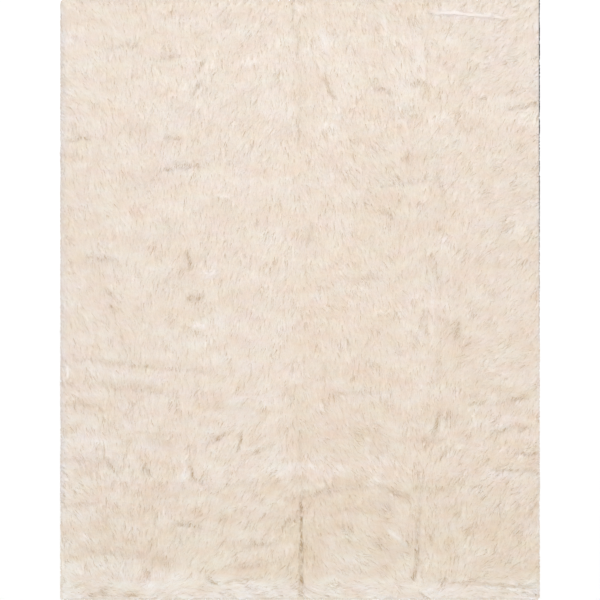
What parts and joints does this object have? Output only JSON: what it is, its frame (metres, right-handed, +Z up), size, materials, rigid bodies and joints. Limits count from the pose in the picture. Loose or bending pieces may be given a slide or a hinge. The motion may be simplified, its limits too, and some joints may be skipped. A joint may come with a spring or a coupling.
{
  "type": "shag rug",
  "caption": "Rectangular shag rug lying flat, a soft ivory pile combed along its length, with shallow fold creases and pointed locks of pile round its rim.",
  "frame": {"origin": "middle of the flat underside, on the floor", "axes": "+Z up out of the pile, +Y along the rug's length towards the end that the pile is combed away from, +X across its width"},
  "size_m": [2.44, 3.05, 0.0553],
  "materials": {
    "pile": "soft ivory faux fur pile, matte with a faint sheen, warmer and darker down between the tufts"
  },
  "bodies": {
    "root": {"pile_slab": "pile"}
  },
  "joints": []
}
